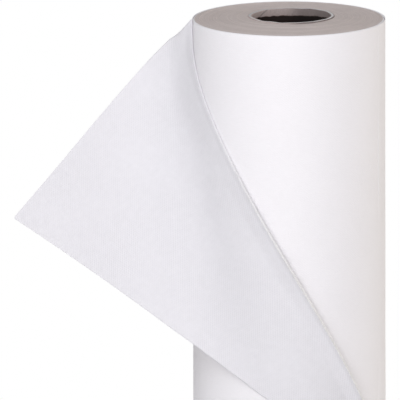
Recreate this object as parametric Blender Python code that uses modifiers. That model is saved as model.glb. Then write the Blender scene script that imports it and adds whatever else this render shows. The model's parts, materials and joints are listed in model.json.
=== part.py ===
"""Roll of frost protection fleece, standing on end with the loose end's top corner turned back.

A long sheet of white spunbond fleece is wound on a cardboard tube. The outermost turn ends in a cut
across the sheet. Its top corner is turned back along a slanting fold, lies over the front of the roll
and stands free beside it. Units are metres, +Z is up and the viewer stands on the -Y side.

Angles run round the roll's axis from the viewer's side, positive to the right. Depth is measured down
from the top end face.
"""

import math

import bmesh
import bpy
from mathutils import Matrix, Vector

MM = 0.001

# Roll
ROLL_RADIUS = 61.0 * MM
ROLL_LENGTH = 500.0 * MM
END_EDGE_RADIUS = 0.8 * MM
TOP_DOME = 1.1 * MM

# Cardboard tube: slack winding leaves it off the roll's middle, and the turns have slid down round it
CORE_BORE_RADIUS = 25.0 * MM
CORE_WALL = 2.8 * MM
CORE_EDGE_RADIUS = 0.5 * MM
CORE_OFF_RIGHT = 1.5 * MM
CORE_OFF_AWAY = 5.0 * MM
CORE_PROUD = 1.2 * MM

# Adhesive strip that holds the start of the sheet to the tube
TAPE_THICKNESS = 0.2 * MM
TAPE_WIDTH = 25.0 * MM
TAPE_END_MARGIN = 10.0 * MM

# Sheet
SHEET_THICKNESS = 0.4 * MM
FIT_GAP = 0.3 * MM
LAYER_GAP = 0.45 * MM
PANEL_GAP = 0.7 * MM
FOLD_EDGE_GAP = 0.4 * MM
TURN_END_MARGIN = 0.3 * MM
CUTTER_OVERRUN = 5.0 * MM

# Outermost turn: the cut end's place and how far the turn laps over its own start
CUT_END_ANGLE = math.radians(75.0)
TURN_LAP_ANGLE = math.radians(8.0)

# Fold: it runs straight down the left side from the top edge, then slants across the front to the cut
# end. The slanting line alone would meet the top edge at the first angle.
FOLD_SLANT_START_ANGLE = math.radians(-105.0)
FOLD_LEFT_ANGLE = math.radians(-88.0)
FOLD_TURN_ANGLE = math.radians(5.0)
FOLD_DEPTH = 302.0 * MM
FOLD_START_SLOPE_SHARE = 0.405
FOLD_END_SLOPE_SHARE = 1.225
FOLD_BEND_RADIUS_TOP = 1.1 * MM
FOLD_BEND_RADIUS_LOW = 2.2 * MM
PEEL_BEND_RADIUS = 0.4 * MM
PEEL_SHARE = 0.14
FOLD_SETTLE_LENGTH = 16.0 * MM

# Line beside the roll about which the loose corner swings
HINGE_STAND = 76.0 * MM
HINGE_TOP_DEPTH = 14.3 * MM
HINGE_TOP_AWAY = 5.0 * MM
HINGE_LOW_DEPTH = 192.7 * MM
HINGE_LOW_AWAY = -45.0 * MM
HINGE_HALF_GAP = 0.3 * MM

# Loose corner: the tip's place, and a hollow bow towards the viewer
TIP_REACH = 175.7 * MM
TIP_DEPTH = 122.9 * MM
TIP_RADIUS = 3.0 * MM
CORNER_BOW_RADIUS = 242.0 * MM
TIP_START_ANGLE = math.radians(50.0)
TIP_END_ANGLE = math.radians(-35.0)
CORNER_START_ANGLE = math.radians(8.5)

# Facets
SMOOTH_ANGLE = math.radians(35.0)
MERGE_DISTANCE = 0.01 * MM
ROUND_STEPS = 72
TAPE_COLUMNS = 12
TURN_COLUMNS = 30
FOLD_ROWS = 18
PANEL_BEND_COLUMNS = 5
PANEL_RUN_COLUMNS = 19
CORNER_ROWS = 12
CORNER_COLUMNS = 8
PATH_SAMPLES = 48

CORE_OUTER_RADIUS = CORE_BORE_RADIUS + CORE_WALL
WOUND_BORE_RADIUS = CORE_OUTER_RADIUS + FIT_GAP + TAPE_THICKNESS + FIT_GAP
LAYER_PITCH = SHEET_THICKNESS + LAYER_GAP
PANEL_LIFT = SHEET_THICKNESS + PANEL_GAP
FULL_TURN = 2.0 * math.pi


def clear_scene():
    for obj in list(bpy.data.objects):
        bpy.data.objects.remove(obj, do_unlink=True)


def make_collection(name):
    collection = bpy.data.collections.new(name)
    bpy.context.scene.collection.children.link(collection)
    return collection


def make_material(name, colour, roughness):
    material = bpy.data.materials.new(name)
    material.use_nodes = True
    shader = material.node_tree.nodes["Principled BSDF"]
    shader.inputs["Base Color"].default_value = (*colour, 1.0)
    shader.inputs["Roughness"].default_value = roughness
    shader.inputs["Metallic"].default_value = 0.0
    material.diffuse_color = (*colour, 1.0)
    return material


def add_object(name, mesh, collection, parent=None, material=None):
    obj = bpy.data.objects.new(name, mesh)
    collection.objects.link(obj)
    obj.parent = parent
    if material:
        mesh.materials.append(material)
    mesh.shade_smooth()
    mesh.set_sharp_from_angle(angle=SMOOTH_ANGLE)
    return obj


def lerp(start, end, share):
    return start + (end - start) * share


def smooth(share):
    share = min(max(share, 0.0), 1.0)
    return share * share * (3.0 - 2.0 * share)


def around(angle, radius):
    """Plan position on a circle about the roll's axis."""
    return Vector((radius * math.sin(angle), -radius * math.cos(angle)))


def placed(plan, depth):
    """Point of the roll from its plan position and its depth under the top end face."""
    return Vector((plan.x, plan.y, ROLL_LENGTH - depth))


def turned(name, profile, collection, parent, material=None):
    """Profile of (radius, height) points, running down its outer side, turned about Z.

    A profile that starts on the axis ends there too. Any other is closed into a ring's section.
    """
    mesh = bpy.data.meshes.new(name)
    points = [(radius, 0.0, height) for radius, height in profile]
    edges = [(i, i + 1) for i in range(len(points) - 1)]
    if profile[0][0] > 0.0:
        edges.append((len(points) - 1, 0))
    mesh.from_pydata(points, edges, [])
    obj = add_object(name, mesh, collection, parent, material)
    screw = obj.modifiers.new("turn", "SCREW")
    screw.steps = screw.render_steps = ROUND_STEPS
    screw.merge_threshold = MERGE_DISTANCE
    screw.use_merge_vertices = True
    screw.use_smooth_shade = True
    return obj


def ring_profile(inner, outer, low, high, edge):
    """Section of a tube whose four edges are cut back by a small chamfer."""
    return [
        (outer, high - edge),
        (outer, low + edge),
        (outer - edge, low),
        (inner + edge, low),
        (inner, low + edge),
        (inner, high - edge),
        (inner + edge, high),
        (outer - edge, high),
    ]


def mapped_sheet(name, columns, rows, place, collection, parent, material):
    """Grid bent into a sheet by place(column share, row share), then given the fleece's thickness."""
    shape = bmesh.new()
    bmesh.ops.create_grid(shape, x_segments=columns, y_segments=rows, size=1.0)
    for vert in shape.verts:
        column_share = (vert.co.x + 1.0) / 2.0
        row_share = (vert.co.y + 1.0) / 2.0
        vert.co = place(column_share, row_share)
    mesh = bpy.data.meshes.new(name)
    shape.to_mesh(mesh)
    shape.free()
    obj = add_object(name, mesh, collection, parent, material)
    wall = obj.modifiers.new("thickness", "SOLIDIFY")
    wall.thickness = SHEET_THICKNESS
    wall.offset = 0.0
    wall.use_even_offset = True
    return obj


def turn_radius(angle):
    """Middle of the outermost turn's sheet: it climbs one layer in a full turn."""
    climb = (angle - CUT_END_ANGLE + FULL_TURN) / FULL_TURN
    return ROLL_RADIUS + LAYER_GAP + SHEET_THICKNESS / 2.0 + LAYER_PITCH * climb


def fold_angle(share):
    """The slanting line, turned smoothly so that it never passes beyond the left side."""
    slanting = lerp(FOLD_SLANT_START_ANGLE, CUT_END_ANGLE, share)
    beyond = (slanting - FOLD_LEFT_ANGLE) / FOLD_TURN_ANGLE
    return FOLD_LEFT_ANGLE + FOLD_TURN_ANGLE * math.log1p(math.exp(beyond))


def fold_depth(share):
    """The fold runs flatter where it leaves the top edge and steeper towards the cut end."""
    cubic = share**3
    square = share**2
    start_part = FOLD_START_SLOPE_SHARE * (cubic - 2.0 * square + share)
    end_part = FOLD_END_SLOPE_SHARE * (cubic - square)
    return FOLD_DEPTH * (start_part + 3.0 * square - 2.0 * cubic + end_part)


def bend_radius(share):
    """Tight under the rim, soft towards the cut end, and wide where the top edge peels off the roll."""
    peel = (1.0 - smooth(share / PEEL_SHARE)) * PEEL_BEND_RADIUS
    return lerp(FOLD_BEND_RADIUS_TOP, FOLD_BEND_RADIUS_LOW, share) + peel


def bend_start_angle(share):
    """Where the sheet leaves the outermost turn's level to go round the fold."""
    angle = fold_angle(share)
    return angle - bend_radius(share) / turn_radius(angle)


def hinge_away(depth):
    share = (depth - HINGE_TOP_DEPTH) / (HINGE_LOW_DEPTH - HINGE_TOP_DEPTH)
    return lerp(HINGE_TOP_AWAY, HINGE_LOW_AWAY, share)


def corner_away(beyond, depth):
    """How far from the viewer the loose corner lies, at a distance beyond the hinge line."""
    bow = beyond**2 / (2.0 * CORNER_BOW_RADIUS)
    return hinge_away(depth) + math.tan(CORNER_START_ANGLE) * beyond - bow


def tangent_angle(plan, radius):
    """Angle at which a line from an outside point touches the front of a circle about the axis."""
    return math.atan2(plan.x, -plan.y) + math.acos(radius / plan.length)


def resampled(path, count):
    """The same path with its points at even distances."""
    lengths = [0.0]
    for before, after in zip(path, path[1:]):
        lengths.append(lengths[-1] + (after - before).length)
    points = []
    leg = 0
    for i in range(count + 1):
        wanted = lengths[-1] * i / count
        while leg < len(path) - 2 and lengths[leg + 1] < wanted:
            leg += 1
        share = (wanted - lengths[leg]) / (lengths[leg + 1] - lengths[leg])
        points.append(path[leg].lerp(path[leg + 1], min(max(share, 0.0), 1.0)))
    return points


def hermite(start, start_pull, end, end_pull, share):
    cubic = share**3
    square = share**2
    return (
        start * (2.0 * cubic - 3.0 * square + 1.0)
        + start_pull * (cubic - 2.0 * square + share)
        + end * (3.0 * square - 2.0 * cubic)
        + end_pull * (cubic - square)
    )


def panel_row(share):
    """Plan points of one line across the turned-back panel, from under the fold to the hinge line."""
    angle = fold_angle(share)
    start_angle = bend_start_angle(share)
    radius = bend_radius(share)
    level = turn_radius(angle)
    hinge_depth = lerp(HINGE_TOP_DEPTH, HINGE_LOW_DEPTH, share)
    hinge = Vector((HINGE_HALF_GAP - HINGE_STAND, hinge_away(hinge_depth)))
    touch = tangent_angle(hinge, level + PANEL_LIFT)
    heading = Vector((math.cos(start_angle), math.sin(start_angle)))
    outward = Vector((math.sin(start_angle), -math.cos(start_angle)))
    start = around(start_angle, turn_radius(start_angle))
    aim = (hinge - start).normalized()
    lies_on_roll = start_angle > touch
    turn = math.pi if lies_on_roll else math.atan2(aim.dot(outward), aim.dot(heading))
    bend = []
    for i in range(PANEL_BEND_COLUMNS + 1):
        part = turn * i / PANEL_BEND_COLUMNS
        bend.append(start + radius * (math.sin(part) * heading + (1.0 - math.cos(part)) * outward))
    run = [bend[-1]]
    leave = heading * math.cos(turn) + outward * math.sin(turn)
    if lies_on_roll:
        for i in range(1, PATH_SAMPLES + 1):
            here = lerp(start_angle, touch, i / PATH_SAMPLES)
            gone = (start_angle - here) * level
            lift = lerp(2.0 * radius, PANEL_LIFT, smooth(gone / FOLD_SETTLE_LENGTH))
            run.append(around(here, turn_radius(here) + max(lift, PANEL_LIFT)))
        leave = (run[-1] - run[-2]).normalized()
    reach = (hinge - run[-1]).length
    arrive = Vector((-math.cos(CORNER_START_ANGLE), math.sin(CORNER_START_ANGLE)))
    begin = run[-1]
    for i in range(1, PATH_SAMPLES + 1):
        run.append(hermite(begin, leave * reach, hinge, arrive * reach, i / PATH_SAMPLES))
    return bend + resampled(run, PANEL_RUN_COLUMNS)[1:]


def build_core(collection, parent, material):
    profile = ring_profile(
        CORE_BORE_RADIUS, CORE_OUTER_RADIUS, 0.0, ROLL_LENGTH, CORE_EDGE_RADIUS
    )
    core = turned("core_tube", profile, collection, parent, material)
    core.location = (CORE_OFF_RIGHT, CORE_OFF_AWAY, CORE_PROUD)
    return core


def build_tape(collection, parent, material):
    radius = CORE_OUTER_RADIUS + FIT_GAP + TAPE_THICKNESS / 2.0
    half_angle = TAPE_WIDTH / radius / 2.0

    def place(column_share, row_share):
        angle = lerp(-half_angle, half_angle, column_share)
        depth = lerp(ROLL_LENGTH - TAPE_END_MARGIN, TAPE_END_MARGIN, row_share)
        return placed(around(angle, radius), depth)

    tape = mapped_sheet("start_tape", TAPE_COLUMNS, 1, place, collection, parent, material)
    tape.modifiers["thickness"].thickness = TAPE_THICKNESS
    tape.location = (CORE_OFF_RIGHT, CORE_OFF_AWAY, 0.0)
    return tape


def build_wound_fleece(collection, cutters, parent, material):
    """The inner turns as one body, bored for the tube."""
    edge = END_EDGE_RADIUS
    profile = [
        (0.0, ROLL_LENGTH + TOP_DOME),
        (CORE_OUTER_RADIUS, ROLL_LENGTH + TOP_DOME),
        (ROLL_RADIUS - edge, ROLL_LENGTH),
        (ROLL_RADIUS, ROLL_LENGTH - edge),
        (ROLL_RADIUS, edge),
        (ROLL_RADIUS - edge, 0.0),
        (0.0, 0.0),
    ]
    wound = turned("wound_fleece", profile, collection, parent, material)
    bore_profile = [
        (0.0, ROLL_LENGTH + CUTTER_OVERRUN),
        (WOUND_BORE_RADIUS, ROLL_LENGTH + CUTTER_OVERRUN),
        (WOUND_BORE_RADIUS, -CUTTER_OVERRUN),
        (0.0, -CUTTER_OVERRUN),
    ]
    bore = turned("core_bore_cutter", bore_profile, cutters, parent)
    bore.location = (CORE_OFF_RIGHT, CORE_OFF_AWAY, 0.0)
    bore.hide_render = True
    bore.display_type = "WIRE"
    cut = wound.modifiers.new("core bore", "BOOLEAN")
    cut.operation = "DIFFERENCE"
    cut.object = bore
    return wound


def build_outer_turn(collection, parent, material):
    start_angle = CUT_END_ANGLE - FULL_TURN - TURN_LAP_ANGLE
    fold_rows_share = FOLD_ROWS / (FOLD_ROWS + 1)

    def place(column_share, row_share):
        down_share = 1.0 - row_share
        fold_share = min(down_share / fold_rows_share, 1.0)
        depth = fold_depth(fold_share)
        end_angle = bend_start_angle(fold_share) - FOLD_EDGE_GAP / ROLL_RADIUS
        if down_share > fold_rows_share + 0.5 / (FOLD_ROWS + 1):
            depth = ROLL_LENGTH - TURN_END_MARGIN
        angle = lerp(start_angle, end_angle, column_share)
        return placed(around(angle, turn_radius(angle)), depth)

    return mapped_sheet(
        "outer_turn", TURN_COLUMNS, FOLD_ROWS + 1, place, collection, parent, material
    )


def build_panel(collection, parent, material):
    def place(column_share, row_share):
        row = round((1.0 - row_share) * FOLD_ROWS)
        column = round((1.0 - column_share) * (PANEL_BEND_COLUMNS + PANEL_RUN_COLUMNS))
        share = row / FOLD_ROWS
        hinge_depth = lerp(HINGE_TOP_DEPTH, HINGE_LOW_DEPTH, share)
        run_share = max(column - PANEL_BEND_COLUMNS, 0) / PANEL_RUN_COLUMNS
        return placed(panel_row(share)[column], lerp(fold_depth(share), hinge_depth, run_share))

    return mapped_sheet(
        "turned_back_panel",
        PANEL_BEND_COLUMNS + PANEL_RUN_COLUMNS,
        FOLD_ROWS,
        place,
        collection,
        parent,
        material,
    )


def hinge_frame():
    """Matrix with its origin at the middle of the hinge line and its Z axis up along it."""
    top = Vector((-HINGE_STAND, HINGE_TOP_AWAY, ROLL_LENGTH - HINGE_TOP_DEPTH))
    low = Vector((-HINGE_STAND, HINGE_LOW_AWAY, ROLL_LENGTH - HINGE_LOW_DEPTH))
    along = (top - low).normalized()
    side = Vector((1.0, 0.0, 0.0))
    away = along.cross(side)
    turn = Matrix((side, away, along)).transposed().to_4x4()
    return Matrix.Translation((top + low) / 2.0) @ turn


def build_corner(collection, hinge, material):
    into_hinge = hinge_frame().inverted()

    def place(column_share, row_share):
        out_share = 1.0 - column_share
        down_share = 1.0 - row_share
        root_depth = lerp(HINGE_TOP_DEPTH, HINGE_LOW_DEPTH, down_share)
        tip_turn = lerp(TIP_START_ANGLE, TIP_END_ANGLE, down_share)
        tip_reach = TIP_REACH - TIP_RADIUS * (1.0 - math.cos(tip_turn))
        tip_depth = TIP_DEPTH - TIP_RADIUS * math.sin(tip_turn)
        reach = lerp(HINGE_STAND + HINGE_HALF_GAP, tip_reach, out_share)
        depth = lerp(root_depth, tip_depth, out_share)
        away = corner_away(reach - HINGE_STAND, depth)
        return into_hinge @ placed(Vector((-reach, away)), depth)

    return mapped_sheet(
        "loose_corner", CORNER_COLUMNS, CORNER_ROWS, place, collection, hinge, material
    )


def bounds(objects):
    """Lowest and highest corners of the finished meshes."""
    graph = bpy.context.evaluated_depsgraph_get()
    corners = []
    for obj in objects:
        finished = obj.evaluated_get(graph)
        mesh = finished.to_mesh()
        corners += [finished.matrix_world @ vert.co for vert in mesh.vertices]
        finished.to_mesh_clear()
    low = Vector([min(corner[i] for corner in corners) for i in range(3)])
    high = Vector([max(corner[i] for corner in corners) for i in range(3)])
    return low, high


def main():
    clear_scene()
    parts = make_collection("frost_fleece_roll")
    cutters = make_collection("cutters")
    cardboard = make_material("cardboard", (0.50, 0.44, 0.39), 0.9)
    adhesive = make_material("adhesive_tape", (0.80, 0.78, 0.70), 0.5)
    wound_white = make_material("wound_fleece", (0.86, 0.85, 0.85), 0.85)
    sheet_white = make_material("fleece_sheet", (0.90, 0.90, 0.91), 0.85)

    roll_axis = bpy.data.objects.new("roll_axis", None)
    parts.objects.link(roll_axis)
    hinge = bpy.data.objects.new("corner_hinge", None)
    parts.objects.link(hinge)
    hinge.parent = roll_axis
    hinge.matrix_local = hinge_frame()

    pieces = [
        build_core(parts, roll_axis, cardboard),
        build_tape(parts, roll_axis, adhesive),
        build_wound_fleece(parts, cutters, roll_axis, wound_white),
        build_outer_turn(parts, roll_axis, sheet_white),
        build_panel(parts, roll_axis, sheet_white),
        build_corner(parts, hinge, sheet_white),
    ]

    bpy.context.view_layer.update()
    low, high = bounds(pieces)
    middle = (low + high) / 2.0
    roll_axis.location = (-middle.x, -middle.y, -low.z)
    bpy.context.view_layer.update()
    print("roll axis stands at", [round(value, 6) for value in roll_axis.location])
    print("corner hinge at", [round(value, 6) for value in hinge.matrix_world.translation])
    print("corner hinge along", [round(value, 6) for value in hinge.matrix_world.col[2][:3]])
    print("least gap between layers", round(least_layer_gap() / MM, 3), "mm")


def least_layer_gap():
    """Radial gap where the outermost turn laps over its own start, measured along the lap."""
    gaps = []
    for i in range(TURN_COLUMNS):
        angle = CUT_END_ANGLE - TURN_LAP_ANGLE * i / TURN_COLUMNS
        gaps.append(turn_radius(angle) - turn_radius(angle - FULL_TURN) - SHEET_THICKNESS)
    return min(gaps)


main()
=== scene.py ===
"""Roll of frost protection fleece: white spunbond sheet on a cardboard tube, its loose corner turned back.

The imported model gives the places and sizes. This file gives the looks: the one continuous sheet of the
outermost turn with its fold and its free corner, the wound edges on the end faces, the spiral-wound tube,
the materials, the floor, the lamps and the camera.

Angles run round the roll's axis from the viewer's side, positive to the right. Depth is measured down
from the roll's upper rim. Lengths are metres.
"""

import json
import math
import random

import bmesh
import bpy
from bpy.props import FloatProperty, FloatVectorProperty, IntProperty, PointerProperty
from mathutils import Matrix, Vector


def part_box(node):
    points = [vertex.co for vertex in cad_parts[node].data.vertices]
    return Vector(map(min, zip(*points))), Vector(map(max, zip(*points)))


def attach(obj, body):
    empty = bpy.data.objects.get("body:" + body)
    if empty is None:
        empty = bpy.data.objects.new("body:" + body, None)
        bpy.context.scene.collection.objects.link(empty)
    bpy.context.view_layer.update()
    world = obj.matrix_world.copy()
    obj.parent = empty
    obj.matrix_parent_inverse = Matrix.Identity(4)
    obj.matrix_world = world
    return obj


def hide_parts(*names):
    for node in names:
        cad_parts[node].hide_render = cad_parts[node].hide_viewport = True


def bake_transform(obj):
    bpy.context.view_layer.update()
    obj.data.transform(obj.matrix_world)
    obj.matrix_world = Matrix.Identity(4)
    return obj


bl_info = {
    "name": "Frost Protection Fleece Roll",
    "version": (1, 0, 0),
    "blender": (4, 5, 0),
    "location": "3D View > Sidebar > Fleece Roll",
    "description": "Dresses the packed roll of garden fleece with its sheet, tube, finishes and studio",
    "category": "Object",
}

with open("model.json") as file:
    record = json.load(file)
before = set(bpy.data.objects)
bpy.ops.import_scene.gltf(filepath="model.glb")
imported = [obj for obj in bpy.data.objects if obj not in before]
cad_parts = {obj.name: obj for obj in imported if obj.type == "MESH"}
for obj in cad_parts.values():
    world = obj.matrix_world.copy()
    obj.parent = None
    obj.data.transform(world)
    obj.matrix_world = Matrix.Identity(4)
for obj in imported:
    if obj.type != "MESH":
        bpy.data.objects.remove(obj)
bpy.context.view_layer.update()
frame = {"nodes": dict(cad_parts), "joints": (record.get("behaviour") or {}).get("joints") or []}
FULL_TURN = 2.0 * math.pi
MM = 0.001

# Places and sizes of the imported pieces
TUBE_LOW, TUBE_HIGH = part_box("core_tube")
WOUND_LOW, WOUND_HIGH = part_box("wound_fleece")
HINGE = next(joint for joint in frame["joints"] if joint["name"] == "corner_swing")
AXIS = Vector(((WOUND_LOW.x + WOUND_HIGH.x) / 2.0, (WOUND_LOW.y + WOUND_HIGH.y) / 2.0))
TUBE_AXIS = Vector(((TUBE_LOW.x + TUBE_HIGH.x) / 2.0, (TUBE_LOW.y + TUBE_HIGH.y) / 2.0))
ROLL_RADIUS = (WOUND_HIGH.x - WOUND_LOW.x) / 2.0
ROLL_LENGTH = TUBE_HIGH.z - TUBE_LOW.z
TUBE_RADIUS = (TUBE_HIGH.x - TUBE_LOW.x) / 2.0
TUBE_PROUD = TUBE_LOW.z
TOP_DOME = WOUND_HIGH.z - ROLL_LENGTH
HINGE_MIDDLE = Vector(HINGE["pos_m"])
HINGE_ALONG = Vector(HINGE["axis"]).normalized()

# Divisions of the surfaces
TURN_COLUMNS = 150
BEND_COLUMNS = 12
RUN_COLUMNS = 84
CORNER_COLUMNS = 44
PATH_SAMPLES = 240
FOLD_ROWS = 180
LOW_ROWS = 24
RIM_STEPS = 288
SIDE_ROWS = 120
RIDGE_ROWS_PER_TURN = 2
ROUND_STEPS = 3
TUBE_STEPS = 192
TUBE_WALL_ROWS = 60
FLOOR_STEPS = 128

# Loose sheet; a pair of shares is where along the fold a change starts, and how long it is; a fade is
# one over its length
START_DROP_ANGLE = math.radians(6.0)
CLING_START_ANGLE = math.radians(30.0)
CLING_FADE_SHARES = (0.25, 0.6)
LIFT_RISE_SHARES = (0.33, 0.3)
LIFT_FALL_SHARES = (0.86, 0.14)
HOLLOW_START = -13.0 * MM
HOLLOW_MIDDLE = 17.0 * MM
HOLLOW_END = 80.0 * MM
TURN_SWELL = 0.12 * MM
TURN_SWELL_FADE = 8.0
CORNER_RIPPLE = 0.9 * MM
EDGE_DIP = 1.0 * MM
EDGE_BOW = 0.9 * MM
# Brings the bow's formula to 1 where it is highest
BOW_TO_ONE = 9.48
TIP_TURN_TOP = math.radians(50.0)
TIP_TURN_LOW = math.radians(-35.0)
FLAT_STEP = 0.5 * MM
RUN_CROWDING = 1.7
HINGE_FLAT_SHARE = 0.42
SHEET_FOOT_MARGIN = 0.3 * MM
# Each wave's radians a metre along and down the sheet, its phase and its share
RIPPLE_WAVES = ((61.0, 17.0, 0.4, 0.50), (-28.0, 49.0, 1.9, 0.34), (93.0, -71.0, 4.1, 0.16))

# Wound turns; the pair of shares is a start and a length on the way in from the rim to the bore
TURN_SEED = 11
BUNCH_CHANCE = 0.16
BUNCH_STEP = 0.16 * MM
TURN_STEP = 0.10 * MM
FOOT_RIDGE_SHARE = 0.3
RIM_FADE = 12.0
BORE_FADE = 20.0
TUBE_DIP_SHARES = (0.88, 0.10)
TUBE_DIP_FRONT = 0.6 * MM
TUBE_DIP_BACK = 0.1 * MM
RIM_ROUND = 0.8 * MM
WOUND_SWELL = 0.05 * MM
WOUND_SWELL_INSET = 30.0 * MM
BACK_FADE = 3.0
BORE_GAP = 0.8 * MM
BORE_HUG_GAP = 0.05 * MM
BORE_HUG_DEPTH = 7.0 * MM
FACE_RADIUS = ROLL_RADIUS - RIM_ROUND
BORE_RADIUS = TUBE_RADIUS + BORE_HUG_GAP

# Paper tube
PLY_SEED = 5
RIM_BUMPS = 24
RIM_WOBBLE = 0.26 * MM
TUBE_PLIES = 6
PLY_DIP = 0.12 * MM
TUBE_EDGE = 0.5 * MM

# Finishes; a pair is where a change starts and ends, or the shades between which a pattern varies
NOISE_WIDE = (0.25, 0.75)
NOISE_NARROW = (0.3, 0.7)
BOND_SLANT = math.radians(-39.0)
FIBRE_DIRECTIONS = ((25.0, 0.08), (-38.0, 0.07), (82.0, 0.10), (-4.0, 0.09))
# Painted shade and highlight along the fold's crease, and a painted shadow band behind it
CREASE_TIGHT_SHARES = (0.22, 0.66)
CREASE_WIDE_SHARES = (0.52, 0.66)
CREASE_WIDENING = 0.8 * MM
CREASE_EDGE = (0.7 * MM, 0.2 * MM)
CREASE_SHADE_TO_HIGHLIGHT = (0.93, 1.16)
CREASE_HIGHLIGHT_BLUES = (1.0, 0.955)
PAINTED_SHADOW_BAND_START = (0.2 * MM, 1.0 * MM)
PAINTED_SHADOW_BAND_END = (5.0 * MM, 2.2 * MM)
PAINTED_SHADOW_BAND_SHADE = 0.93
RING_DRIFT = 1.2 * MM
# Painted shadow inside the bore, dark and warm, under a ragged edge that lies deeper towards the back
BORE_SHADOW_SLANT = 0.085
BORE_SHADOW_RAGGED = 1.4 * MM
BORE_SHADOW_EDGE = (2.1 * MM, 3.0 * MM)
BORE_SHADOW_INSIDE = (TUBE_RADIUS - 1.5 * MM, TUBE_RADIUS - 2.0 * MM)
BORE_SHADOW_SHADES = (0.05, 0.78, 0.72)
SEAM_EDGE = (0.010, 0.004)
SEAM_DEPTH = 2.5

# Studio
FLOOR_RADIUS = 1.1
FLOOR_DROP = 0.6 * MM
FLOOR_LIFT = 0.28
FLOOR_FADE = (0.30, FLOOR_RADIUS * 0.97)
WHITE = (1.0, 1.0, 1.0, 1.0)
LAMP_TARGET = (AXIS.x, AXIS.y, 0.35)
LAMPS = (
    ("front lamp", (-0.45, -2.8, 0.62), 1.0, 10.2, (0.91, 0.93, 1.0)),
    ("upper left lamp", (-1.15, -1.1, 2.4), 1.0, 9.2, (0.87, 0.93, 0.99)),
    ("right side lamp", (2.2, 1.05, 0.4), 1.4, 15.8, (1.0, 0.89, 0.73)),
)
EVEN_LIGHT = 0.15
EVEN_COLOUR = (1.0, 0.98, 0.99, 1.0)
FRONT_LIGHT = 1.12
BACK_LIGHT = 0.3
CAMERA_DISTANCE = 10.0
CAMERA_SIGHT = 20.0
CAMERA_RISE = math.radians(11.07)
CAMERA_ROLL = math.radians(-0.2)
CAMERA_TARGET = (AXIS.x - 0.0572, AXIS.y, ROLL_LENGTH - 0.118)
FIELD_WIDTH = 0.2564
SENSOR = 36.0


def length(name, description, metres):
    return FloatProperty(name=name, description=description, default=metres, unit="LENGTH")


def turn(name, description, degrees):
    return FloatProperty(name=name, description=description, default=math.radians(degrees), subtype="ANGLE")


def factor(name, description, value):
    return FloatProperty(name=name, description=description, default=value)


def colour(name, description, shade):
    return FloatVectorProperty(name=name, description=description, default=shade, subtype="COLOR")


class FleeceRollSizes(bpy.types.PropertyGroup):
    """Sizes of the sheet, its fold and the tube"""

    sheet_thickness: length("Sheet thickness", "Thickness of the loose fleece", 0.0004)
    settled_gap: length("Settled gap", "Air under the outermost turn", 0.00012)
    panel_gap: length("Panel gap", "Air under the turned-back panel", 0.0005)
    cut_end_angle: turn("Cut end", "Place of the sheet's cut end", 75.0)
    lap_angle: turn("Lap", "How far the turn laps over its start", 8.0)
    fold_slant_start_angle: turn("Fold slant start", "Where the slant alone would meet the top edge", -105.0)
    fold_left_angle: turn("Fold left limit", "How far round to the left the fold goes", -88.0)
    fold_turn_angle: turn("Fold turn", "How softly the fold turns up at the left", 5.0)
    fold_depth: length("Fold depth", "Depth of the fold's end at the cut end", 0.302)
    fold_start_slope: factor("Fold start slope", "Slope of the fold at the top edge", 0.405)
    fold_end_slope: factor("Fold end slope", "Slope of the fold at the cut end", 1.225)
    bend_radius_top: length("Bend radius under the rim", "Tight part of the fold", 0.00045)
    bend_radius_low: length("Bend radius at the cut end", "Soft part of the fold", 0.0013)
    fold_lift: length("Fold lift", "How far the low part of the fold stands off the roll", 0.0036)
    lift_length: length("Lift length", "Length in which the sheet rises to its fold", 0.018)
    peel_bend_radius: length("Peel bend", "Extra bend where the top edge peels off", 0.0004)
    peel_share: factor("Peel share", "Share of the fold that peels", 0.14)
    settle_length: length("Settle length", "Length in which the fold settles on the roll", 0.016)
    cling_angle: turn("Cling", "How far round the panel follows the roll", 26.0)
    hollow_depth: length("Hollow depth", "How far the sheet sinks beside the roll", 0.007)
    hinge_top_depth: length("Hinge top", "Depth of the hinge line's upper end", 0.0143)
    hinge_low_depth: length("Hinge foot", "Depth of the hinge line's lower end", 0.1927)
    tip_reach: length("Tip reach", "Distance of the corner's tip from the axis", 0.1757)
    tip_depth: length("Tip depth", "Depth of the corner's tip", 0.1229)
    tip_radius: length("Tip radius", "Round of the tip", 0.0016)
    corner_bow_radius: length("Corner bow", "Radius of the corner's hollow bow", 0.242)
    corner_start_angle: turn("Corner start", "Heading of the sheet at the hinge", 8.5)
    tube_wall: length("Tube wall", "Wall of the tube", 0.0028)
    ply_width: length("Ply pitch", "Rise of the tube's paper plies in a turn", 0.085)
    turns: IntProperty(name="Turns", description="Turns of the sheet on the tube", default=82)


class FleeceRollColours(bpy.types.PropertyGroup):
    """Colours of the roll's materials"""

    fleece: colour("Fleece", "Spunbond sheet", (0.850, 0.838, 0.868))
    wound: colour("Wound fleece", "Side of the wound roll", (0.955, 0.938, 0.955))
    edges: colour("Wound edges", "End faces", (0.725, 0.645, 0.615))
    board: colour("Paperboard", "Wall of the tube", (0.40, 0.335, 0.32))
    board_rim: colour("Paperboard rim", "Cut rim of the tube", (0.90, 0.88, 0.87))
    adhesive: colour("Adhesive strip", "Strip at the sheet's start", (0.72, 0.69, 0.58))
    floor: colour("Floor", "Studio floor", (0.92, 0.92, 0.92))


def lerp(start, end, share):
    return start + (end - start) * share


def smooth(share):
    share = min(max(share, 0.0), 1.0)
    return share * share * (3.0 - 2.0 * share)


def rising(value, start, span):
    """Smooth climb from 0 at the start to 1 at the end of a span."""
    return smooth((value - start) / span)


def around(angle, radius):
    """Plan position on a circle about the roll's axis."""
    return Vector((radius * math.sin(angle), -radius * math.cos(angle)))


def placed(plan, depth):
    """Point of the model from a plan position about the roll's axis and a depth under its rim."""
    return Vector((AXIS.x + plan.x, AXIS.y + plan.y, ROLL_LENGTH - depth))


def ripple(along, down):
    """Soft unevenness of a loose sheet, from its flat coordinates."""
    return sum(size * math.sin(a * along + b * down + phase) for a, b, phase, size in RIPPLE_WAVES)


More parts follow.
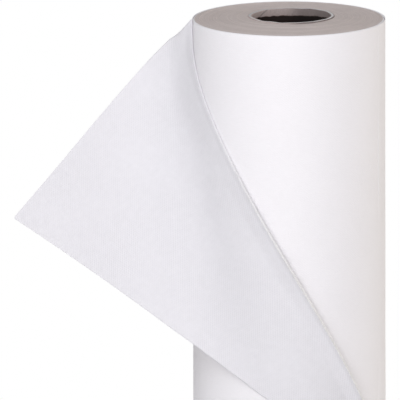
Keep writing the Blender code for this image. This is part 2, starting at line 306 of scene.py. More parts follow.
def hermite(start, start_pull, end, end_pull, share):
    """Smooth way from a start to an end, which leaves and arrives along the two pulls."""
    cubic = share**3
    square = share**2
    return (
        start * (2.0 * cubic - 3.0 * square + 1.0)
        + start_pull * (cubic - 2.0 * square + share)
        + end * (3.0 * square - 2.0 * cubic)
        + end_pull * (cubic - square)
    )


def resampled(path, count, crowding=1.0):
    """The same path with its points at even distances, or crowded towards its start, and its length."""
    lengths = [0.0]
    for before, after in zip(path, path[1:]):
        lengths.append(lengths[-1] + (after - before).length)
    points = []
    leg = 0
    for i in range(count + 1):
        wanted = lengths[-1] * (i / count) ** crowding
        while leg < len(path) - 2 and lengths[leg + 1] < wanted:
            leg += 1
        share = (wanted - lengths[leg]) / (lengths[leg + 1] - lengths[leg])
        points.append(path[leg].lerp(path[leg + 1], min(max(share, 0.0), 1.0)))
    return points, lengths[-1]


def quarter_round(radius, steps):
    """How far a rounded edge's points lie in from its side and away from its end."""
    for step in steps:
        slope = math.radians(90.0 * step / ROUND_STEPS)
        yield radius * (1.0 - math.sin(slope)), radius * (1.0 - math.cos(slope))


class SheetForm:
    """The outermost turn, its fold, the turned-back panel and the free corner, as one surface.

    A share runs down the fold: 0 is its start at the top edge and 1 its end at the cut end.
    """

    def __init__(self, sizes):
        self.sizes = sizes
        self.pitch = sizes.sheet_thickness + sizes.settled_gap
        self.inner_radius = ROLL_RADIUS + sizes.settled_gap + sizes.sheet_thickness / 2.0
        self.panel_lift = sizes.sheet_thickness + sizes.panel_gap
        self.hinge_stand = AXIS.x - HINGE_MIDDLE.x
        self.start_angle = sizes.cut_end_angle - FULL_TURN - sizes.lap_angle
        self.flat_radius = self.turn_radius(sizes.cut_end_angle)
        self.flat_width = self.flat_along(sizes.cut_end_angle)
        top_run_length = resampled(self.panel_path(0.0)[1], RUN_COLUMNS)[1]
        self.top_hinge_along = self.flat_along(self.fold_angle(0.0)) + top_run_length

    def turn_radius(self, angle):
        climb = (angle - self.sizes.cut_end_angle + FULL_TURN) / FULL_TURN
        return self.inner_radius + self.pitch * climb

    def under_rise(self, angle):
        """How far the turn under the sheet has climbed. It runs on into the sheet's start without a step."""
        gone = (angle - self.start_angle) % FULL_TURN
        climb = gone / FULL_TURN
        drop = 1.0 - smooth(gone / START_DROP_ANGLE)
        return self.pitch * max(climb, drop)

    def flat_along(self, angle):
        """Distance on the flat sheet from its start to an angle of the outermost turn."""
        return (angle - self.start_angle) * self.flat_radius

    def fold_angle(self, share):
        """The slanting line, turned smoothly so that it never passes beyond the left side."""
        slanting = lerp(self.sizes.fold_slant_start_angle, self.sizes.cut_end_angle, share)
        beyond = (slanting - self.sizes.fold_left_angle) / self.sizes.fold_turn_angle
        return self.sizes.fold_left_angle + self.sizes.fold_turn_angle * math.log1p(math.exp(beyond))

    def fold_depth(self, share):
        start_slope = self.sizes.fold_start_slope
        end_slope = self.sizes.fold_end_slope
        return self.sizes.fold_depth * hermite(0.0, start_slope, 1.0, end_slope, share)

    def bend_radius(self, share):
        peel = (1.0 - smooth(share / self.sizes.peel_share)) * self.sizes.peel_bend_radius
        return lerp(self.sizes.bend_radius_top, self.sizes.bend_radius_low, share) + peel

    def bend_start_angle(self, share):
        angle = self.fold_angle(share)
        return angle - self.bend_radius(share) / self.turn_radius(angle)

    def full_lift(self, share):
        """Height of the fold off the roll."""
        risen = rising(share, *LIFT_RISE_SHARES)
        return self.sizes.fold_lift * risen * (1.0 - rising(share, *LIFT_FALL_SHARES))

    def lift(self, gone, share):
        """Height of the sheet off the roll at a distance from the fold, which holds it up."""
        left = max(0.0, 1.0 - gone / self.sizes.lift_length)
        return self.full_lift(share) * left * left

    def panel_rise(self, gone, radius):
        """Height of the panel over the outermost turn, at a distance from the fold's crest."""
        settled = smooth(gone / self.sizes.settle_length)
        return lerp(2.0 * radius, self.panel_lift, settled)

    def hinge_depth(self, share):
        return lerp(self.sizes.hinge_top_depth, self.sizes.hinge_low_depth, share)

    def hinge_point(self, depth):
        """Plan position of the hinge line at a depth."""
        along = (ROLL_LENGTH - depth - HINGE_MIDDLE.z) / HINGE_ALONG.z
        point = HINGE_MIDDLE + HINGE_ALONG * along
        return Vector((point.x - AXIS.x, point.y - AXIS.y))

    def hinge_flat(self, share):
        """Place of the hinge line on the flat sheet."""
        down = lerp(0.0, HINGE_FLAT_SHARE * self.sizes.fold_depth, share)
        return lerp(self.top_hinge_along, self.flat_width, share), down

    def hollow(self, reach, share):
        """How far the sheet sinks away from the viewer, beside the roll, where it turns to hang free."""
        beyond = reach - self.hinge_stand
        sunk = rising(beyond, HOLLOW_START, HOLLOW_MIDDLE - HOLLOW_START)
        risen = rising(beyond, HOLLOW_MIDDLE, HOLLOW_END - HOLLOW_MIDDLE)
        return self.sizes.hollow_depth * sunk * (1.0 - risen) * (1.0 - share * share)

    def corner_point(self, reach, depth):
        """Plan position of the free corner at a distance from the axis and a depth."""
        beyond = reach - self.hinge_stand
        bow = beyond**2 / (2.0 * self.sizes.corner_bow_radius)
        away = self.hinge_point(depth).y + math.tan(self.sizes.corner_start_angle) * beyond - bow
        return Vector((-reach, away))

    def touch_angle(self, share, hinge, level):
        """Where the panel leaves the roll on its way to the hinge line. Its middle rows cling longest."""
        touch = math.atan2(hinge.x, -hinge.y) + math.acos((level + self.panel_lift) / hinge.length)
        cling = smooth((self.bend_start_angle(share) - touch) / CLING_START_ANGLE)
        cling *= 1.0 - rising(share, *CLING_FADE_SHARES)
        return touch - self.sizes.cling_angle * cling

    def panel_path(self, share):
        """Plan points of one line round the bend at the fold, and of its run on to the hinge line."""
        start_angle = self.bend_start_angle(share)
        radius = self.bend_radius(share)
        level = self.turn_radius(self.fold_angle(share))
        hinge = self.hinge_point(self.hinge_depth(share))
        touch = self.touch_angle(share, hinge, level)
        along = Vector((math.cos(start_angle), math.sin(start_angle)))
        away = around(start_angle, 1.0)
        lean = math.atan(2.0 * self.full_lift(share) / self.sizes.lift_length)
        heading = along * math.cos(lean) + away * math.sin(lean)
        outward = away * math.cos(lean) - along * math.sin(lean)
        start = around(start_angle, self.turn_radius(start_angle) + self.full_lift(share))
        aim = (hinge - start).normalized()
        lies_on_roll = start_angle > touch
        bend_angle = math.pi if lies_on_roll else math.atan2(aim.dot(outward), aim.dot(heading))
        bend = []
        for i in range(BEND_COLUMNS + 1):
            part = bend_angle * i / BEND_COLUMNS
            bend.append(start + radius * (math.sin(part) * heading + (1.0 - math.cos(part)) * outward))
        run = [bend[-1]]
        leave = heading * math.cos(bend_angle) + outward * math.sin(bend_angle)
        if lies_on_roll:
            for i in range(1, PATH_SAMPLES + 1):
                here = lerp(start_angle, touch, i / PATH_SAMPLES)
                gone = (start_angle - here) * level
                rise = self.panel_rise(gone, radius) + self.lift(gone, share)
                run.append(around(here, self.turn_radius(here) + rise))
            leave = (run[-1] - run[-2]).normalized()
        arrive = Vector((-math.cos(self.sizes.corner_start_angle), math.sin(self.sizes.corner_start_angle)))
        begin = run[-1]
        reach = (hinge - begin).length
        for i in range(1, PATH_SAMPLES + 1):
            run.append(hermite(begin, leave * reach, hinge, arrive * reach, i / PATH_SAMPLES))
        return bend, run


def turn_line(form, depth, share, count):
    """Row of the outermost turn from its start to the bend, with no swell at either end."""
    line = []
    end_angle = form.bend_start_angle(share)
    for i in range(count):
        part = i / TURN_COLUMNS
        angle = lerp(form.start_angle, end_angle, part)
        along = form.flat_along(angle)
        inset = smooth(part * TURN_SWELL_FADE) * smooth((1.0 - part) * TURN_SWELL_FADE)
        swell = (1.0 + ripple(along, depth)) * TURN_SWELL * inset
        before = (end_angle - angle) * form.flat_radius
        radius = form.turn_radius(angle) + swell + form.lift(before, share)
        line.append((placed(around(angle, radius), depth), (along, depth), (-before, share)))
    return line


def panel_line(form, depth, share):
    """Row of the bend and the turned-back panel as far as the hinge line, and the panel's length."""
    fold_along = form.flat_along(form.fold_angle(share))
    hinge_along, hinge_down = form.hinge_flat(share)
    bend, run = form.panel_path(share)
    run, run_length = resampled(run, RUN_COLUMNS, RUN_CROWDING)
    line = []
    for i, plan in enumerate(bend[:-1]):
        flat = (fold_along + (i - BEND_COLUMNS / 2.0) * FLAT_STEP, depth)
        line.append((placed(plan, depth), flat, (0.0, share)))
    for i, plan in enumerate(run[:-1]):
        part = (i / RUN_COLUMNS) ** RUN_CROWDING
        flat = (lerp(fold_along, hinge_along, part), lerp(depth, hinge_down, part))
        dip = EDGE_DIP * 4.0 * part * (1.0 - part) * (1.0 - share)
        here = lerp(depth, form.hinge_depth(share), part) + dip
        plan = plan + Vector((0.0, form.hollow(-plan.x, share)))
        line.append((placed(plan, here), flat, (part * run_length, share)))
    return line, run_length


def corner_line(form, share, run_length):
    """Row of the free corner from the hinge line to the rounded tip."""
    sizes = form.sizes
    hinge_along, hinge_down = form.hinge_flat(share)
    tip_turn = lerp(TIP_TURN_TOP, TIP_TURN_LOW, share)
    tip_reach = sizes.tip_reach - sizes.tip_radius * (1.0 - math.cos(tip_turn))
    tip_depth = sizes.tip_depth - sizes.tip_radius * math.sin(tip_turn)
    line = []
    for i in range(CORNER_COLUMNS + 1):
        part = i / CORNER_COLUMNS
        reach = lerp(form.hinge_stand, tip_reach, part)
        bow = EDGE_BOW * (1.0 - share) * BOW_TO_ONE * part * (1.0 - part) ** 3
        here = lerp(form.hinge_depth(share), tip_depth, part) - bow
        flat = (lerp(hinge_along, form.flat_width, part), lerp(hinge_down, 0.0, part))
        plan = form.corner_point(reach, here)
        plan.y += form.hollow(reach, share) + ripple(*flat) * CORNER_RIPPLE * smooth(part * 2.0)
        line.append((placed(plan, here), flat, (run_length, share)))
    return line


def sheet_row(form, share):
    """Points from the turn's start to the tip, with their flat coordinates and place beyond the fold."""
    depth = form.fold_depth(share)
    panel, run_length = panel_line(form, depth, share)
    return turn_line(form, depth, share, TURN_COLUMNS) + panel + corner_line(form, share, run_length)


def made_mesh(shape, name):
    mesh = bpy.data.meshes.new(name)
    shape.to_mesh(mesh)
    shape.free()
    return mesh


class Skin:
    """Mesh in the making, whose points come with their coordinates in each of its flat layers."""

    def __init__(self, *layers, flat_turn=0.0):
        self.shape = bmesh.new()
        self.layers = [self.shape.loops.layers.uv.new(name) for name in layers]
        self.flat_turn = flat_turn
        self.spots = {}

    def verts(self, points):
        made = []
        for point, *spots in points:
            vert = self.shape.verts.new(point)
            self.spots[vert] = spots
            made.append(vert)
        return made

    def face(self, corners, slot, ahead):
        """One face. Corners that are ahead lie a whole flat turn further on."""
        face = self.shape.faces.new(corners)
        face.smooth = True
        face.material_index = slot
        for loop in face.loops:
            shift = self.flat_turn if loop.vert in ahead else 0.0
            for layer, (u, v) in zip(self.layers, self.spots[loop.vert]):
                loop[layer].uv = (u + shift, v)

    def cover(self, rows, slot, closed=True):
        """Faces between neighbouring rows of vertices. Closed rows run on into their start."""
        for before, after in zip(rows, rows[1:]):
            for i in range(len(before) if closed else len(before) - 1):
                j = (i + 1) % len(before)
                ahead = () if j else (before[0], after[0])
                self.face((before[i], after[i], after[j], before[j]), slot, ahead)

    def mesh(self, name):
        bmesh.ops.recalc_face_normals(self.shape, faces=self.shape.faces)
        return made_mesh(self.shape, name)


def build_sheet_mesh(sizes):
    """The whole sheet as a grid: rows with the folded part above, and rows of the turn alone below them."""
    form = SheetForm(sizes)
    skin = Skin("flat", "fold")
    upper = [skin.verts(sheet_row(form, row / FOLD_ROWS)) for row in range(FOLD_ROWS + 1)]
    lower = [upper[-1][: TURN_COLUMNS + 1]]
    for row in range(1, LOW_ROWS + 1):
        depth = lerp(sizes.fold_depth, ROLL_LENGTH - SHEET_FOOT_MARGIN, row / LOW_ROWS)
        lower.append(skin.verts(turn_line(form, depth, 1.0, TURN_COLUMNS + 1)))
    skin.cover([line[TURN_COLUMNS:] for line in upper], 0, closed=False)
    skin.cover([line[: TURN_COLUMNS + 1] for line in upper], 1, closed=False)
    skin.cover(lower, 1, closed=False)
    return skin.mesh("loose_sheet")


def turn_heights(turns):
    """Height offset of each wound turn's edge: loose turns stand a little proud of tight ones."""
    dice = random.Random(TURN_SEED)
    heights = []
    bunch = 0.0
    for _ in range(turns + 2):
        if dice.random() < BUNCH_CHANCE:
            bunch = dice.uniform(-1.0, 1.0)
        heights.append(BUNCH_STEP * bunch + TURN_STEP * dice.uniform(-1.0, 1.0))
    return heights


def rim_angles():
    """Share of the way round and angle of each point of a ring, from the back over the left side."""
    for i in range(RIM_STEPS):
        yield i / RIM_STEPS, -math.pi + FULL_TURN * i / RIM_STEPS


class WoundForm:
    """Rings of the wound turns: the side, the end faces with their wound edges, and the wall of the bore."""

    def __init__(self, sizes):
        self.turns = sizes.turns
        self.heights = turn_heights(sizes.turns)
        self.sheet = SheetForm(sizes)
        self.off = TUBE_AXIS - AXIS

    def ridge(self, share, gone, angle):
        """Height of the wound edges at a share of the way in and a share of the way round."""
        edge = share * self.turns + gone
        low = int(edge)
        ridge = lerp(self.heights[low], self.heights[low + 1], smooth(edge - low))
        ridge *= smooth(share * RIM_FADE) * smooth((1.0 - share) * BORE_FADE)
        front = 0.5 + 0.5 * math.cos(angle)
        dip = lerp(TUBE_DIP_BACK, TUBE_DIP_FRONT, front * front)
        return ridge - dip * rising(share, *TUBE_DIP_SHARES)

    def face_ring(self, share, top):
        """One circle between the rim and the bore. The face falls evenly from the tube to the rim."""
        radius = lerp(FACE_RADIUS, BORE_RADIUS, share)
        for gone, angle in rim_angles():
            plan = self.off * share + around(angle, radius + self.sheet.under_rise(angle) * (1.0 - share))
            ridge = self.ridge(share, gone, angle)
            fall = (FACE_RADIUS - plan.length) / (FACE_RADIUS - TUBE_RADIUS)
            rise = TOP_DOME * min(max(fall, 0.0), 1.0) + ridge
            height = ROLL_LENGTH + rise if top else -FOOT_RIDGE_SHARE * ridge
            where = (angle * ROLL_RADIUS, share * (ROLL_RADIUS - BORE_RADIUS))
            yield Vector((AXIS.x + plan.x, AXIS.y + plan.y, height)), where

    def side_ring(self, depth, inward):
        inset = smooth(depth / WOUND_SWELL_INSET) * smooth((ROLL_LENGTH - depth) / WOUND_SWELL_INSET)
        for _, angle in rim_angles():
            along = angle * ROLL_RADIUS
            swell = WOUND_SWELL * ripple(along, depth) * inset * smooth((math.pi - abs(angle)) * BACK_FADE)
            radius = ROLL_RADIUS - inward + swell + self.sheet.under_rise(angle)
            yield placed(around(angle, radius), depth), (along, depth)

    def bore_ring(self, depth, gap):
        for _, angle in rim_angles():
            yield placed(self.off + around(angle, TUBE_RADIUS + gap), depth), (angle * TUBE_RADIUS, depth)


def build_wound_mesh(sizes):
    """Side, end faces and the wall of the bore, which hugs the tube near its ends, as one closed skin."""
    form = WoundForm(sizes)
    skin = Skin("flat", flat_turn=FULL_TURN * ROLL_RADIUS)
    rows = sizes.turns * RIDGE_ROWS_PER_TURN
    top = [skin.verts(form.face_ring(1.0 - i / rows, True)) for i in range(rows + 1)]
    side = [top[-1]]
    shares = [i / SIDE_ROWS for i in range(1, SIDE_ROWS)]
    opening = list(quarter_round(RIM_ROUND, (1, 2, 3)))
    levels = [(down, inward) for inward, down in opening]
    levels += [(lerp(RIM_ROUND, ROLL_LENGTH - RIM_ROUND, share), 0.0) for share in shares]
    levels += [(ROLL_LENGTH - up, inward) for inward, up in reversed(opening)]
    side += [skin.verts(form.side_ring(*level)) for level in levels]
    foot = [skin.verts(form.face_ring(i / rows, False)) for i in range(rows + 1)]
    side.append(foot[0])
    skin.cover(side, 0)
    skin.cover(top, 1)
    skin.cover(foot, 1)
    bore = [foot[-1]]
    for depth, gap in (
        (ROLL_LENGTH - BORE_HUG_DEPTH, BORE_HUG_GAP),
        (ROLL_LENGTH - BORE_HUG_DEPTH - MM, BORE_GAP),
        (BORE_HUG_DEPTH + MM, BORE_GAP),
        (BORE_HUG_DEPTH, BORE_HUG_GAP),
    ):
        bore.append(skin.verts(form.bore_ring(depth, gap)))
    skin.cover([*bore, top[0]], 1)
    return skin.mesh("wound_turns")


def tube_profile(wall):
    """Radius and height of each ring of the tube, and whether it borders on the cut rim's finish."""
    outer = TUBE_RADIUS
    inner = TUBE_RADIUS - wall
    low = TUBE_PROUD
    high = TUBE_PROUD + ROLL_LENGTH
    shares = [i / TUBE_WALL_ROWS for i in range(1, TUBE_WALL_ROWS)]
    opening = list(quarter_round(TUBE_EDGE, (0, 1, 2, 3)))
    closing = opening[::-1]
    profile = [(outer - TUBE_EDGE, high, True)]
    profile += [(outer - inward, high - down, False) for inward, down in opening[1:]]
    profile += [(outer, lerp(high - TUBE_EDGE, low + TUBE_EDGE, share), False) for share in shares]
    profile += [(outer - inward, low + up, False) for inward, up in closing]
    profile += [(inner + inward, low + up, True) for inward, up in opening]
    profile += [(inner, lerp(low + TUBE_EDGE, high - TUBE_EDGE, share), False) for share in shares]
    profile += [(inner + inward, high - down, False) for inward, down in closing]
    for i in range(1, TUBE_PLIES):
        radius = lerp(inner + TUBE_EDGE, outer - TUBE_EDGE, i / TUBE_PLIES)
        profile.append((radius, high - (PLY_DIP if i % 2 else 0.0), True))
    return profile


def build_tube_mesh(sizes):
    """Spiral-wound paper tube: the rim's plies stand unevenly, and the seams run round the walls."""
    dice = random.Random(PLY_SEED)
    bumps = [dice.uniform(-1.0, 1.0) for _ in range(RIM_BUMPS)]
    rim_level = TUBE_PROUD + ROLL_LENGTH - TUBE_EDGE * 1.01
    profile = tube_profile(sizes.tube_wall)
    skin = Skin("flat", flat_turn=1.0)
    rings = []
    for radius, height, _ in profile:
        points = []
        for i in range(TUBE_STEPS):
            angle = FULL_TURN * i / TUBE_STEPS
            here = height
            if height > rim_level:
                spot = angle / FULL_TURN * RIM_BUMPS
                low = int(spot) % RIM_BUMPS
                bump = lerp(bumps[low], bumps[(low + 1) % RIM_BUMPS], smooth(spot - int(spot)))
                here += RIM_WOBBLE * bump
            plan = TUBE_AXIS + around(angle, radius)
            points.append(((plan.x, plan.y, here), (i / TUBE_STEPS, here / sizes.ply_width)))
        rings.append(skin.verts(points))
    rings.append(rings[0])
    for k, pair in enumerate(zip(rings, rings[1:])):
        on_rim = profile[k][2] and profile[(k + 1) % len(profile)][2]
        skin.cover(pair, 1 if on_rim else 0)
    return skin.mesh("paper_tube")


def add_piece(name, mesh, materials):
    piece = bpy.data.objects.new(name, mesh)
    bpy.context.collection.objects.link(piece)
    for material in materials:
        mesh.materials.append(material)
    return piece


def sum_of(operation, swapped=False):
    """Method that joins a value and another one, or a number, in a math node."""

    def method(self, other):
        return self.graph.math(operation, *((other, self) if swapped else (self, other)))

    return method


class Value:
    """Output of a node, which can be used in sums and brought into other ranges."""

    __add__ = sum_of("ADD")
    __sub__ = sum_of("SUBTRACT")
    __rsub__ = sum_of("SUBTRACT", swapped=True)
    __mul__ = sum_of("MULTIPLY")
    __truediv__ = sum_of("DIVIDE")

    def __init__(self, graph, socket):
        self.graph = graph
        self.socket = socket

    def ranged(self, low, high, to_low=0.0, to_high=1.0, way="LINEAR"):
        """The value, brought from one range into another."""
        values = (self, low, high, to_low, to_high)
        return self.graph.value("ShaderNodeMapRange", values, interpolation_type=way)

    def stepped(self, *limits):
        """The value, brought from one range into another along a smooth step."""
        return self.ranged(*limits, way="SMOOTHSTEP")

    def shade(self, tone):
        """1 where this mask is 0, and the tone where it is 1."""
        return self.ranged(0.0, 1.0, 1.0, tone)


class Graph:
    """Short hand for building one node tree."""

    def __init__(self, tree):
        self.tree = tree

    def node(self, kind, settings=None, **inputs):
        node = self.tree.nodes.new(kind)
        for name, value in (settings or {}).items():
            setattr(node, name, value)
        for name, value in inputs.items():
            self.feed(node.inputs[name.replace("_", " ")], value)
        return node

    def feed(self, socket, value):
        if isinstance(value, Value):
            value = value.socket
        if isinstance(value, bpy.types.NodeSocket):
            self.tree.links.new(value, socket)
        else:
            socket.default_value = value

    def value(self, kind, values, output=0, **settings):
        """Output of a node whose inputs are fed in their order."""
        node = self.node(kind, settings)
        for socket, value in zip(node.inputs, values):
            self.feed(socket, value)
        return Value(self, node.outputs[output])

    def math(self, operation, *values):
        return self.value("ShaderNodeMath", values, operation=operation)

    def scaled(self, vector, factors):
        return self.value("ShaderNodeVectorMath", (vector, factors), operation="MULTIPLY")

    def turned(self, vector, angle, stretch=1.0):
        """The flat coordinates, stretched and then turned."""
        stretches = (stretch, 1.0, 1.0)
        node = self.node("ShaderNodeMapping", Vector=vector, Rotation=(0.0, 0.0, angle), Scale=stretches)
        return node.outputs[0]

    def split(self, vector):
        return [Value(self, part) for part in self.node("ShaderNodeSeparateXYZ", Vector=vector).outputs]

    def noise(self, vector, scale, detail=3.0, roughness=0.5):
        settings = {"Scale": scale, "Detail": detail, "Roughness": roughness}
        return Value(self, self.node("ShaderNodeTexNoise", Vector=vector, **settings).outputs["Fac"])

    def blend(self, share, first, second, blend_type="MIX"):
        node = self.node("ShaderNodeMix", {"data_type": "RGBA", "blend_type": blend_type})
        for index, value in ((0, share), (6, first), (7, second)):
            self.feed(node.inputs[index], value)
        return node.outputs[2]

    def place(self, name, build, **inputs):
        """Outputs of a shared group, which is built when it is first placed."""
        group = bpy.data.node_groups.get(name) or build(name)
        outputs = self.node("ShaderNodeGroup", {"node_tree": group}, **inputs).outputs
        return [Value(self, output) for output in outputs]


class Finish(Graph):
    """Material whose Principled shader takes its colour, roughness and relief from the graph."""

    def __init__(self, name, **plain_values):
        self.material = bpy.data.materials.new(name)
        self.material.use_nodes = True
        super().__init__(self.material.node_tree)
        self.shader = self.tree.nodes["Principled BSDF"]
        for socket, value in plain_values.items():
            self.shader.inputs[socket.replace("_", " ")].default_value = value

    def flat(self, layer="flat"):
        return self.node("ShaderNodeUVMap", {"uv_map": layer}).outputs[0]

    def position(self):
        """Position on the piece, in its own space."""
        return self.node("ShaderNodeTexCoord").outputs["Object"]

    def paint(self, tint, red, green=None, blue=None):
        """The piece's colour, shaded by one tone or by a tone for each channel."""
        shade = self.node("ShaderNodeCombineColor", Red=red, Green=green or red, Blue=blue or red).outputs[0]
        self.feed(self.shader.inputs["Base Color"], self.blend(1.0, shade, (*tint, 1.0), "MULTIPLY"))

    def roughness(self, value):
        self.feed(self.shader.inputs["Roughness"], value)

    def relief(self, height, strength, distance):
        bump = self.node("ShaderNodeBump", Height=height, Strength=strength, Distance=distance)
        self.feed(self.shader.inputs["Normal"], bump.outputs[0])


def make_group(name, numbers, outputs):
    """Shader group that takes a vector and named numbers, and its graph, inputs and outputs."""
    tree = bpy.data.node_groups.new(name, "ShaderNodeTree")
    tree.interface.new_socket(name="Vector", in_out="INPUT", socket_type="NodeSocketVector")
    for socket, value in numbers.items():
        made = tree.interface.new_socket(name=socket, in_out="INPUT", socket_type="NodeSocketFloat")
        made.default_value = value
    for socket in outputs:
        tree.interface.new_socket(name=socket, in_out="OUTPUT", socket_type="NodeSocketFloat")
    graph = Graph(tree)
    return graph, graph.node("NodeGroupInput").outputs, graph.node("NodeGroupOutput").inputs


def fibres_group(name):
    """Laid-down endless fibres: long thin streaks in many directions, with cloudy thick and thin spots."""
    graph, given, result = make_group(name, {"Fibre Scale": 2600.0}, ("Height", "Cloud"))
    total = None
    for slant, stretch in FIBRE_DIRECTIONS:
        turned = graph.turned(given["Vector"], math.radians(slant), stretch)
        streak = graph.noise(turned, given["Fibre Scale"], detail=1.0).ranged(0.50, 0.72)
        total = graph.math("MAXIMUM", total, streak) if total else streak
    graph.feed(result["Height"], total)
    cloud = graph.noise(given["Vector"], 210.0, detail=4.0, roughness=0.62)
    graph.feed(result["Cloud"], cloud.ranged(*NOISE_WIDE))
    return graph.tree


def bonds_group(name):
    """Staggered oval points where the rollers have fused the fibres."""
    numbers = {"Along": 0.0016, "Across": 0.0012, "Point Length": 0.44, "Point Width": 0.24}
    graph, given, result = make_group(name, numbers, ["Point"])
    x, y, _ = graph.split(given["Vector"])
    across = y / given["Across"]
    shift = graph.math("PINGPONG", graph.math("FLOOR", across), 1.0) * 0.5
    along = x / given["Along"] + shift
    u = (graph.math("FRACT", along) - 0.5) / given["Point Length"]
    v = (graph.math("FRACT", across) - 0.5) / given["Point Width"]
    reach = graph.math("SQRT", u * u + v * v)
    graph.feed(result["Point"], reach.stepped(1.25, 0.75))
    return graph.tree


def crease_painted_shade_and_highlight(finish, tone):
    """Along the fold: painted shade where it is tight under the rim; lower down a paler, warmer line, partly
    denser pressed fibres and partly painted highlight; a painted shadow band behind it.
    """
    beyond, share, _ = finish.split(finish.flat("fold"))
    beyond -= share.stepped(*CREASE_WIDE_SHARES, 0.0, CREASE_WIDENING)
    crease = beyond.stepped(*CREASE_EDGE)
    band = beyond.stepped(*PAINTED_SHADOW_BAND_START) * beyond.stepped(*PAINTED_SHADOW_BAND_END)
    # Painted shade under the rim turning to painted highlight lower down, then a painted shadow band
    tone *= crease.shade(share.stepped(*CREASE_TIGHT_SHARES, *CREASE_SHADE_TO_HIGHLIGHT))
    tone *= band.shade(PAINTED_SHADOW_BAND_SHADE)
    return tone, tone * crease.shade(share.stepped(*CREASE_TIGHT_SHARES, *CREASE_HIGHLIGHT_BLUES))


def fleece_material(name, tint, cloud, bonding, softness):
    """White spunbond: clouded fibres, fused points, a faint sheen and light that seeps through."""
    finish = Finish(
        name, Sheen_Weight=0.12, Sheen_Roughness=0.6, Specular_IOR_Level=0.25, Subsurface_Weight=softness,
        Subsurface_Radius=(1.0, 1.0, 1.0), Subsurface_Scale=0.001,
    )
    flat = finish.flat()
    fibres, patches = finish.place("Fleece Fibres", fibres_group, Vector=flat)
    (bond,) = finish.place("Bonding Points", bonds_group, Vector=finish.turned(flat, BOND_SLANT))
    points = bond * finish.noise(flat, 24.0, 2.0).ranged(0.36, 0.64, 0.3, 1.4)
    tone = patches.ranged(0.0, 1.0, 1.0 - cloud, 1.0 + cloud)
    tone *= fibres.ranged(0.0, 1.0, 0.985, 1.01)
    tone *= points.shade(1.0 - bonding)
    blue = tone
    # On the loose sheet, painted shade and highlight along the fold's crease
    if softness:
        tone, blue = crease_painted_shade_and_highlight(finish, tone)
    finish.paint(tint, tone, tone, blue)
    finish.roughness(bond.ranged(0.0, 1.0, 0.86, 0.62))
    finish.relief(fibres - points * 0.8 + patches * 0.8, 0.55, 0.06 * MM)
    return finish.material


def edges_material(tint):
    """Cut edges of the wound turns: fine rings, bunched in faint bands, with fibre ends."""
    finish = Finish("Wound edges", Specular_IOR_Level=0.15)
    _, inward, _ = finish.split(finish.flat())
    place = finish.position()
    inward += (finish.noise(place, 45.0, 2.0) - 0.5) * RING_DRIFT
    ring = finish.node("ShaderNodeCombineXYZ", X=inward).outputs[0]
    fine = finish.noise(finish.scaled(ring, (2600.0, 0.0, 0.0)), 1.0, 1.0)
    bands = finish.noise(finish.scaled(ring, (420.0, 0.0, 0.0)), 1.0, 3.0, 0.6)
    ends = finish.noise(place, 2400.0, 2.0)
    tone = fine.ranged(*NOISE_WIDE, 0.90, 1.07) * bands.ranged(*NOISE_WIDE, 0.93, 1.06)
    tone *= ends.ranged(*NOISE_NARROW, 0.95, 1.04)
    tone *= finish.noise(place, 70.0, 3.0).ranged(*NOISE_NARROW, 0.97, 1.03)
    finish.paint(tint, tone)
    finish.roughness(ends.ranged(*NOISE_NARROW, 0.88, 0.97))
    finish.relief(fine + ends * 0.5 + bands * 0.8, 0.7, 0.2 * MM)
    return finish.material


def board_finish(name):
    """Grey paperboard with short fibres, patches and flecks: its finish, its grain and its tone."""
    finish = Finish(name, Specular_IOR_Level=0.25)
    place = finish.position()
    grain = finish.noise(finish.scaled(place, (1.0, 1.0, 0.35)), 1500.0, 3.0, 0.6)
    tone = grain.ranged(*NOISE_WIDE, 0.88, 1.10)
    tone *= finish.noise(place, 90.0, 3.0).ranged(*NOISE_NARROW, 0.94, 1.05)
    tone *= finish.noise(place, 900.0, 1.0).ranged(0.66, 0.74).shade(0.82)
    finish.roughness(grain.ranged(*NOISE_NARROW, 0.82, 0.94))
    return finish, grain, tone


def board_rim_material(tint):
    """Cut rim of the tube, with a painted highlight at the front and painted shade at the back and at the
    left.
    """
    finish, grain, tone = board_finish("Paperboard rim")
    x, y, _ = finish.split(finish.position())
    # Painted highlight at the front, painted shade towards the back and the left
    tone *= (y - TUBE_AXIS.y).ranged(-0.018, 0.012, 1.10, 0.80)
    tone *= (x - TUBE_AXIS.x).ranged(-0.026, -0.008, 0.80, 1.0)
    finish.paint(tint, tone)
    finish.relief(grain, 0.5, 0.1 * MM)
    return finish.material


